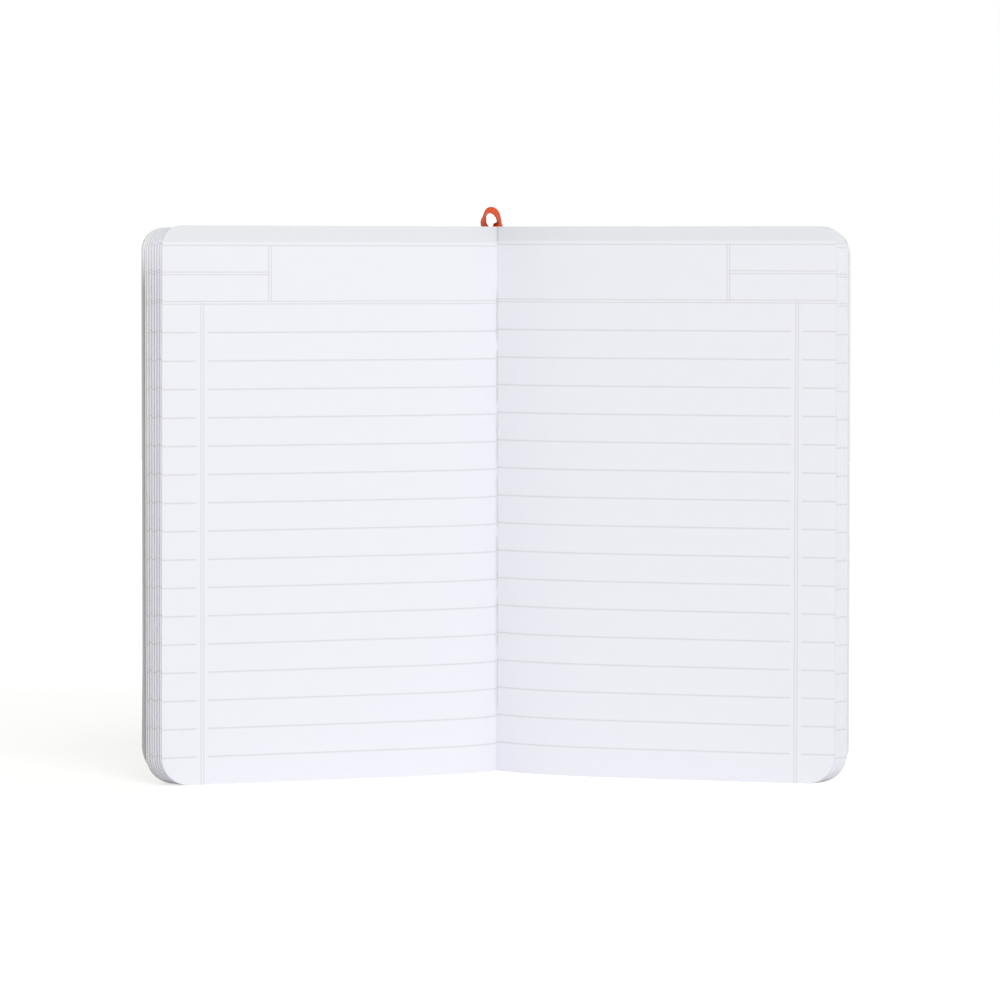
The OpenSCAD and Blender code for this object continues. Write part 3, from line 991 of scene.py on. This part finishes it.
class NOTEBOOK_OT_cover(bpy.types.Operator):
    """Builds the cover: two bent boards, the bowed spine strip and the creases that join them"""

    bl_idname = "notebook.cover"
    bl_label = "Cover"

    def execute(self, context):
        z, c = sizes(), colours()
        left, right = both_sides()
        card = card_material()
        streak = 0.94
        rows = 8
        weld = 1e-7
        edge = edge_material("card_edge", c.card_edge, streak)
        # The front card's cut edge takes painted shade below the head.
        painted_shade = edge_material("front_card_edge", c.card_edge, streak, c.shaded_card)
        middle, radius, turn, half, left_crease, right_crease = spine_arc()

        for side, side_edge in ((left, painted_shade), (right, edge)):
            inner_d = side.stack + endpaper_room()
            line = leaf_stations(side, inner_d + z.cover_t / 2, -1,
                                 side.edge(z.page_w + side.past, inner_d), cover_h(),
                                 side.own("deep_r"), z.cover_foot_r, flat_steps=10,
                                 bend_steps=30, sway=side.board_sway, first=z.crease)
            bm = single_sheet(line, z.cover_t, rows)
            bmesh.ops.remove_doubles(bm, verts=bm.verts, dist=weld)
            stepped_card(bm)
            add_piece(f"{side.board}_board_card", bm, (card, side_edge), side.body,
                      f"{side.board}_cover")

        def on_arc(t, r):
            """A point of the strip at angle t from its middle."""
            return middle.x + r * math.sin(t - turn), middle.y + r * math.cos(t - turn)

        stop = half - z.crease / radius
        strip_r = radius - z.cover_t / 2
        steps = 28
        line = []
        for i in range(steps + 1):
            t = -stop + 2 * stop * i / steps
            line.append(Station(on_arc(t, strip_r), (math.sin(t - turn), math.cos(t - turn)),
                                t * strip_r, cover_h()))
        bm = single_sheet(line, z.cover_t, rows)
        stepped_card(bm)
        add_piece("spine_strip_card", bm, (card, edge), BLOCK, "spine_cover")

        # Each crease bridges the strip and its board, pinched on its inner side.
        steps = 8
        for side, corner in ((left, left_crease), (right, right_crease)):
            end = side.direction * stop
            outer_d = side.stack + endpaper_room() + z.cover_t
            p0, i0, p1, i1 = (Vector(point) for point in (
                on_arc(end, radius), on_arc(end, radius - z.cover_t),
                side.place(z.crease, outer_d), side.place(z.crease, outer_d - z.cover_t)))
            line = []
            for k in range(steps + 1):
                t = k / steps
                outer = (1 - t) ** 2 * p0 + 2 * t * (1 - t) * corner + t * t * p1
                inner = (1 - t) * i0 + t * i1
                pinch = z.crease_pinch * math.sin(math.pi * t) ** 2
                inner = inner + (outer - inner).normalized() * pinch
                line.append(Station((outer + inner) / 2, (outer - inner) / z.cover_t,
                                    t * 2 * z.crease, cover_h()))
            bm = single_sheet(line, z.cover_t, rows)
            oriented(bm)
            made = add_object(f"{side.board}_crease", bm, (card, edge))
            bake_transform(made)
        return {"FINISHED"}


def heading(points, i):
    """Direction of a line of points at point i."""
    return (points[min(i + 1, len(points) - 1)] - points[max(i - 1, 0)]).normalized()


def travelled(points):
    """Distance along a line of points to each of them."""
    out = [0.0]
    for a, b in zip(points, points[1:]):
        out.append(out[-1] + (b - a).length)
    return out


def squared(flat, ahead):
    """The direction flat turned square to ahead, and the one square to both."""
    flat = (flat - flat.dot(ahead) * ahead).normalized()
    return flat, ahead.cross(flat)


def wrapped(bm, rings):
    """Adds a closed skin over rings of vertices. Its two ends are the last faces."""
    faces = []
    for a, b in zip(rings, rings[1:]):
        for k in range(len(a)):
            n = (k + 1) % len(a)
            faces.append(bm.faces.new((a[k], a[n], b[n], b[k])))
    return faces + [bm.faces.new(rings[0][::-1]), bm.faces.new(rings[-1])]


def tube(bm, points, radius, around):
    """Adds a closed tube along points."""
    rings = []
    flat = Vector((1, 0, 0))
    for i, p in enumerate(points):
        flat, other = squared(flat, heading(points, i))
        rings.append([bm.verts.new(p + radius * (math.cos(t) * flat + math.sin(t) * other))
                      for t in (2 * math.pi * k / around for k in range(around))])
    wrapped(bm, rings)


def smoothed(points, per):
    """Points on a smooth curve through the given ones, however unevenly they are spaced."""
    gaps = [(b - a).length for a, b in zip(points, points[1:])]
    runs = [(b - a) / gap for a, b, gap in zip(points, points[1:], gaps)]
    slopes = [runs[0]]
    for i in range(1, len(runs)):
        slopes.append((runs[i - 1] * gaps[i] + runs[i] * gaps[i - 1]) / (gaps[i - 1] + gaps[i]))
    slopes.append(runs[-1])
    out = []
    for i, gap in enumerate(gaps):
        for k in range(per):
            t = k / per
            out.append((1 + 2 * t) * (1 - t) ** 2 * points[i] + t * t * (3 - 2 * t) * points[i + 1]
                       + t * (1 - t) ** 2 * gap * slopes[i] - t * t * (1 - t) * gap * slopes[i + 1])
    return out + [points[-1].copy()]


def eased(directions, per):
    """Directions that turn gently from each given one to the next."""
    out = []
    for a, b in zip(directions, directions[1:]):
        for k in range(per):
            t = k / per
            out.append(a.lerp(b, t * t * (3 - 2 * t)))
    return out + [directions[-1].copy()]


class NOTEBOOK_OT_sewing(bpy.types.Operator):
    """Builds the two-ply sewing thread through the open fold"""

    bl_idname = "notebook.sewing"
    bl_label = "Sewing"

    # Points on each stretch of the route, and corners round a ply
    PER_STRETCH, AROUND = 14, 6

    def execute(self, context):
        z = sizes()
        r, dip = z.thread_d / 2, z.thread_dip
        # The thread runs just in front of the fold, and just behind the open signature.
        inner, outer = -1.25 * r, signature_t() / 2 + 1.1 * r
        half = (z.stitch_pitch - z.stitch_gap) / 2
        route = []
        for i in range(z.stitches):
            mid = z.page_h / 2 + (i - (z.stitches - 1) / 2) * z.stitch_pitch
            low, high = mid - half, mid + half
            route += [(outer, low - dip), (outer * 0.4, low), (inner * 0.6, low + dip * 0.6),
                      (inner, low + 4 * dip), (inner, mid), (inner, high - 4 * dip),
                      (inner * 0.6, high - dip * 0.6), (outer * 0.4, high),
                      (outer, high + dip)]
        path = smoothed([Vector((0.0, y, up)) for y, up in route], self.PER_STRETCH)
        ply = 0.52 * r
        off_axis = 0.9 * ply
        plies = ([], [])
        flat = Vector((1, 0, 0))
        for i, (p, run) in enumerate(zip(path, travelled(path))):
            other = heading(path, i).cross(flat)
            for n in (0, 1):
                t = 2 * math.pi * run / z.thread_twist + math.pi * n
                plies[n].append(p + off_axis * (math.cos(t) * flat + math.sin(t) * other))
        bm = bmesh.new()
        for points in plies:
            tube(bm, points, ply, self.AROUND)
        add_piece("twisted_thread", bm, (thread_material(),), BLOCK, "sewing_thread")
        return {"FINISHED"}


class NOTEBOOK_OT_ribbon(bpy.types.Operator):
    """Builds the satin ribbon: glued behind the left stack, looped over the head, and down"""

    bl_idname = "notebook.ribbon"
    bl_label = "Ribbon"

    # Tilt of the width towards the outside of the loop, from the left leg to the right one
    TILT = (34, 27, 18, 19, 28, 37, 42, 42, 39, 35, 29, 25, 28)
    # Straight legs above the head, straight ribbon below it, and the loop's swing to the left
    LEG, DIP, SWING = 1.2 * MM, 1 * MM, 0.8 * MM
    # Glue under the ribbon, and how far its glued end reaches past the left stack
    GLUE, PAST_STACK = 0.03 * MM, 0.4 * MM
    # The tail: to the right of the spine's middle, and clear of the spine strip
    TAIL_ASIDE, TAIL_CLEAR = 0.75 * MM, 0.9 * MM
    # Rows on each stretch of the route, and columns across the width
    PER_STRETCH, ACROSS = 6, 10
    # Half the thickness in the middle, and what the borders add to it
    BODY, BORDER = 0.36, 0.14
    # Where the border and the rounded edge start, as shares of half the width, how steeply
    # the one rises and the other falls, and where the rounding stops
    BORDER_START, BORDER_RISE = 0.75, 8
    ROUND_START, ROUND_FALL, ROUND_END = 0.86, 45, 0.04

    def route(self):
        """Points of the ribbon's middle and directions of its width."""
        z = sizes()
        left, _ = both_sides()
        middle, radius = spine_arc()[:2]
        through = Vector(left.through(left.fold))
        behind = -Vector(left.along(left.fold))
        lining = signature_t() / 2 + z.thread_d / 2 + z.lining_clear + z.lining_t
        lift = z.ribbon_t / 2 + self.GLUE
        seat = (left.stack + self.PAST_STACK - z.ribbon_w / 2) * through + (lining + lift) * behind
        tail = Vector((middle.x + self.TAIL_ASIDE,
                       middle.y + radius - z.cover_t - z.ribbon_t / 2 - self.TAIL_CLEAR))
        rows = [(Vector((seat.x, seat.y, up)), Vector((through.x, through.y, 0)))
                for up in (z.page_h - z.ribbon_glued, z.page_h - z.ribbon_glued / 2,
                           z.page_h - self.DIP)]
        steps = len(self.TILT) - 1
        for i, tilt in enumerate(self.TILT):
            t = math.pi * (1 - i / steps)
            q = math.radians(tilt)
            rows.append((
                Vector((seat.x - self.SWING + z.ribbon_span / 2 * (1 + math.cos(t)),
                        seat.y + (tail.y - seat.y) * i / steps,
                        z.page_h + self.LEG + (z.ribbon_rise - self.LEG) * math.sin(t))),
                Vector((math.sin(q) * math.cos(t), math.cos(q), math.sin(q) * math.sin(t)))))
        for up in (z.page_h, z.page_h - self.DIP, z.page_h / 2, z.ribbon_tail_z):
            rows.append((Vector((tail.x, tail.y, up)), Vector((1, 0, 0))))
        middles, directions = zip(*rows)
        return smoothed(middles, self.PER_STRETCH), eased(directions, self.PER_STRETCH)

    def half_thickness(self, w):
        """Half the ribbon's thickness at this distance from its middle: thicker at the woven
        borders, and rounded off at the very edge."""
        z = sizes()
        edge = abs(w) / (z.ribbon_w / 2)
        border = min(1, max(0, edge - self.BORDER_START) * self.BORDER_RISE)
        left = 1 - max(0, edge - self.ROUND_START) ** 2 * self.ROUND_FALL
        thick = z.ribbon_t * (self.BODY + self.BORDER * border)
        return thick * math.sqrt(max(self.ROUND_END, left))

    def execute(self, context):
        points, flats = self.route()
        bm = bmesh.new()
        layer = bm.loops.layers.uv.new(PAGE_MAP)
        rings, marks = [], {}
        for i, (p, flat, run) in enumerate(zip(points, flats, travelled(points))):
            flat, up = squared(flat, heading(points, i))
            ring = []
            for way in (1, -1):
                for k in range(self.ACROSS + 1):
                    w = way * (k / self.ACROSS - 0.5) * sizes().ribbon_w
                    ring.append(bm.verts.new(p + w * flat - way * self.half_thickness(w) * up))
                    marks[ring[-1]] = (w, run)
            rings.append(ring)
        faces = wrapped(bm, rings)
        for face in faces:
            for loop in face.loops:
                w, run = marks[loop.vert]
                loop[layer].uv = (0 if face in faces[-2:] else w, run)
        add_piece("satin_ribbon", bm, (ribbon_material(),), BLOCK, "ribbon_bookmark")
        return {"FINISHED"}


class NOTEBOOK_OT_lining(bpy.types.Operator):
    """Gives the spine lining its cloth"""

    bl_idname = "notebook.lining"
    bl_label = "Lining"

    def execute(self, context):
        cloth = cloth_material()
        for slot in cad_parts["spine_lining"].material_slots:
            slot.material = cloth
        return {"FINISHED"}


class NOTEBOOK_OT_stage(bpy.types.Operator):
    """Builds the pale floor, the soft lights and the camera"""

    bl_idname = "notebook.stage"
    bl_label = "Stage"

    AIM = (0, 0, 0.07)
    KEY_PLACE = (0.67, -1.75, 1.88)
    FILL_PLACE = (-0.21, -1.5, 0.22)
    FLOOR_RADIUS = 1.6
    # Where the floor's shadow is seen: its middle, and where it fades to white.
    SHADOW_X, SHADOW_Y = -0.11, 0.07
    SHADOW_FADE = (0.12, 0.24)
    WHITE = (1, 1, 1)

    def add_light(self, name, place, size, power):
        """A square soft light that looks at the notebook."""
        data = bpy.data.lights.new(name, "AREA")
        data.shape = "SQUARE"
        data.size = size
        data.energy = power
        lamp = bpy.data.objects.new(name, data)
        lamp.location = place
        lamp.rotation_euler = (Vector(self.AIM) - Vector(place)).to_track_quat("-Z", "Y").to_euler()
        bpy.context.scene.collection.objects.link(lamp)

    def floor_material(self):
        """Plain floor: white to the camera, apart from the shadow behind the left pages."""
        c = colours()
        sh = new_shader("floor")
        x, y, _ = sh.split(sh.point())
        x, y = x - self.SHADOW_X, y - self.SHADOW_Y
        around = x * x + y * y
        away = around.math("SQRT", around).between(*self.SHADOW_FADE)
        seen = sh.wire(sh.node("ShaderNodeLightPath"), "Is Camera Ray")
        shown = sh.node("ShaderNodeBsdfPrincipled", None, {
            "Base Color": (0.45, 0.45, 0.45), "Roughness": 1.0, "Specular IOR Level": 0.0,
            "Emission Color": sh.mix(away, c.shadow, self.WHITE), "Emission Strength": 1.0})
        plain = sh.node("ShaderNodeBsdfPrincipled", None, {
            "Base Color": c.floor, "Roughness": 0.9, "Specular IOR Level": 0.1})
        both = sh.node("ShaderNodeMixShader", None,
                       {0: seen, 1: sh.wire(plain), 2: sh.wire(shown)})
        sh.node("ShaderNodeOutputMaterial", None, {"Surface": sh.wire(both)})
        return sh.owner

    def soft_sky(self, strength):
        """Even sky that lights the notebook, and a white one to look at."""
        world = bpy.data.worlds.new("soft_sky")
        sky = Shader(world)
        ray = sky.node("ShaderNodeLightPath")
        seen = (sky.wire(ray, "Is Camera Ray") | sky.wire(ray, "Is Glossy Ray")
                | sky.wire(ray, "Is Transmission Ray"))
        soft, white = (sky.wire(sky.node("ShaderNodeBackground", None, {
            "Color": self.WHITE, "Strength": light})) for light in (strength, 1.0))
        both = sky.node("ShaderNodeMixShader", None, {0: seen, 1: soft, 2: white})
        sky.node("ShaderNodeOutputWorld", None, {"Surface": sky.wire(both)})
        return world

    def execute(self, context):
        scene = context.scene
        s = scene.notebook_stage
        bm = bmesh.new()
        bmesh.ops.create_circle(bm, cap_ends=True, segments=64, radius=self.FLOOR_RADIUS)
        floor = add_object("floor", bm, (self.floor_material(),))
        scene.world = self.soft_sky(s.sky)
        self.add_light("key_light", self.KEY_PLACE, s.key_size, s.key)
        self.add_light("front_light", self.FILL_PLACE, s.fill_size, s.fill)

        data = bpy.data.cameras.new("camera")
        data.lens = s.lens
        data.sensor_width = 36
        data.clip_end = 20
        camera = bpy.data.objects.new("camera", data)
        camera.location = (s.aside, -s.distance, s.height)
        camera.rotation_euler = (math.pi / 2 - s.pitch, -s.roll, 0)
        scene.collection.objects.link(camera)
        scene.camera = camera
        scene.view_settings.view_transform = "Standard"
        return {"FINISHED"}


STEPS = ("pages", "endpapers", "cover", "lining", "sewing", "ribbon", "stage")


class NOTEBOOK_PT_panel(bpy.types.Panel):
    """Lists the notebook's steps and sizes"""

    bl_idname = "NOTEBOOK_PT_panel"
    bl_label = "Notebook"
    bl_space_type = "VIEW_3D"
    bl_region_type = "UI"
    bl_category = "Notebook"

    def draw(self, context):
        for step in STEPS:
            self.layout.operator("notebook." + step)
        for name in GROUPS:
            group = getattr(context.scene, name)
            column = self.layout.column(align=True)
            for key in group.__annotations__:
                column.prop(group, key)


GROUPS = {"notebook_sizes": NotebookSizes, "notebook_print": NotebookPrint,
          "notebook_colours": NotebookColours, "notebook_stage": NotebookStage}
CLASSES = (*GROUPS.values(), NOTEBOOK_OT_pages, NOTEBOOK_OT_endpapers, NOTEBOOK_OT_cover,
           NOTEBOOK_OT_lining, NOTEBOOK_OT_sewing, NOTEBOOK_OT_ribbon, NOTEBOOK_OT_stage,
           NOTEBOOK_PT_panel)


def register():
    for item in CLASSES:
        bpy.utils.register_class(item)
    for name, group in GROUPS.items():
        setattr(bpy.types.Scene, name, PointerProperty(type=group))


def unregister():
    for name in GROUPS:
        delattr(bpy.types.Scene, name)
    for item in reversed(CLASSES):
        bpy.utils.unregister_class(item)


def main():
    """Registers the classes and runs each step in order."""
    register()
    for step in STEPS:
        getattr(bpy.ops.notebook, step)()


if __name__ == "__main__":
    main()
